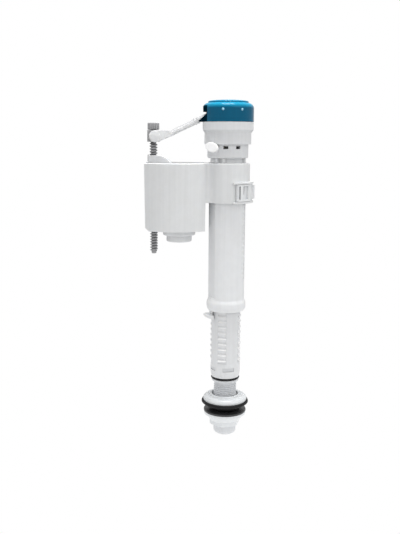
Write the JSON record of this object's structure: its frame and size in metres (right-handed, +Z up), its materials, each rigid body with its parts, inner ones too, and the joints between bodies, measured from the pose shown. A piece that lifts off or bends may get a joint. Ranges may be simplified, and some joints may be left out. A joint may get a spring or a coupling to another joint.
{
  "type": "toilet fill valve",
  "caption": "Bottom-entry cistern fill valve: ribbed height sleeve, riser with sliding float cup, lever arm to a blue-capped diaphragm head, threaded inlet with seal and nut.",
  "frame": {"origin": "on the axis of the inlet shank, at its bottom end face", "axes": "+Z up along the riser toward the cap; -X toward the float chamber; the front, with the sleeve's snap windows and the collar's latch, faces -Y"},
  "size_m": [0.0979, 0.0474, 0.3078],
  "materials": {
    "white_plastic": "satin moulded acetal",
    "bright_white_plastic": "semi-gloss moulding",
    "blue_plastic": "smooth semi-gloss moulding",
    "grey_plastic": "matte moulding",
    "natural_plastic": "unpigmented moulding",
    "black_rubber": "matte moulded rubber",
    "dark_washer": "satin pressed rubber sheet",
    "grey_rubber": "soft moulded silicone",
    "steel": "drawn stainless wire"
  },
  "bodies": {
    "tail": {"threaded_shank": "white_plastic", "height_sleeve": "white_plastic", "lower_pipe": "natural_plastic", "pipe_o_ring": "black_rubber", "inlet_strainer": "natural_plastic", "flow_regulator": "grey_rubber", "shank_o_ring": "black_rubber"},
    "riser": {"riser_tube": "white_plastic", "upper_pipe": "natural_plastic", "head_body": "white_plastic", "valve_seat": "natural_plastic", "seat_o_ring": "black_rubber", "diaphragm": "grey_rubber", "metering_pin": "steel", "pilot_plate": "white_plastic", "pivot_pin": "steel", "cap": "blue_plastic"},
    "lock_ring": {"lock_ring": "white_plastic"},
    "chamber": {"float_chamber": "white_plastic", "drain_collar": "white_plastic"},
    "latch": {"chamber_latch": "bright_white_plastic"},
    "drain": {"drain_disc": "white_plastic", "drain_seal": "black_rubber"},
    "holder": {"rod_holder": "grey_plastic"},
    "arm": {"lever_arm": "bright_white_plastic", "pilot_seal": "grey_rubber"},
    "rod": {"adjusting_rod": "grey_plastic"},
    "float": {"float_shell": "white_plastic", "float_base": "white_plastic", "float_clip": "grey_plastic"},
    "core": {"diaphragm_core": "natural_plastic"},
    "button": {"release_button": "bright_white_plastic"},
    "washer": {"flat_washer": "dark_washer"},
    "nut": {"flanged_nut": "bright_white_plastic"},
    "seals": {"cone_seal": "black_rubber", "dome_washer": "white_plastic"}
  },
  "joints": [
    {"name": "height_adjust", "type": "slide", "parent": "tail", "child": "riser", "axis": [0, 0, 1], "range_m": [-0.0416, 0.0364]},
    {"name": "lock_turn", "type": "hinge", "parent": "riser", "child": "lock_ring", "pos_m": [0, 0, 0.118], "axis": [0, 0, 1], "range_deg": [0, 35]},
    {"name": "chamber_slide", "type": "slide", "parent": "riser", "child": "chamber", "axis": [0, 0, 1], "range_m": [-0.0184, 0]},
    {"name": "latch_slide", "type": "hinge", "parent": "chamber", "child": "latch", "pos_m": [0, 0, 0.227], "axis": [0, 0, 1], "range_deg": [-10, 0]},
    {"name": "drain_lift", "type": "slide", "parent": "chamber", "child": "drain", "axis": [0, 0, 1], "range_m": [0, 0.0025]},
    {"name": "float_lift", "type": "slide", "parent": "riser", "child": "holder", "axis": [0, 0, 1], "range_m": [0, 0.0091]},
    {"name": "arm_swing", "type": "hinge", "parent": "riser", "child": "arm", "pos_m": [-0.013, 0, 0.2962], "axis": [0, 1, 0], "range_deg": [0, 10]},
    {"name": "float_trim", "type": "slide", "parent": "holder", "child": "float", "axis": [0, 0, 1], "range_m": [-0.01, 0]},
    {"name": "rod_turn", "type": "hinge", "parent": "holder", "child": "rod", "pos_m": [-0.066, 0, 0.28], "axis": [0, 0, 1], "range_deg": [0, 1470]},
    {"name": "diaphragm_lift", "type": "slide", "parent": "riser", "child": "core", "axis": [0, 0, 1], "range_m": [0, 0.002]},
    {"name": "button_press", "type": "slide", "parent": "riser", "child": "button", "axis": [0.5736, 0.8192, 0], "range_m": [0, 0.001], "stiffness_N_per_m": 300},
    {"name": "seal_slide", "type": "slide", "parent": "tail", "child": "seals", "axis": [0, 0, 1], "range_m": [0, 0.01]},
    {"name": "nut_travel", "type": "slide", "parent": "tail", "child": "washer", "axis": [0, 0, 1], "range_m": [-0.022, 0]},
    {"name": "nut_turn", "type": "hinge", "parent": "washer", "child": "nut", "pos_m": [0, 0, 0.015], "axis": [0, 0, 1], "range_deg": [-4366, 0]}
  ],
  "couplings": [
    {"joint": "arm_swing", "follows": "float_lift", "rad_per_m": 18.976},
    {"joint": "rod_turn", "follows": "float_trim", "rad_per_m": -2564.6},
    {"joint": "nut_turn", "follows": "nut_travel", "rad_per_m": 3463.1}
  ]
}
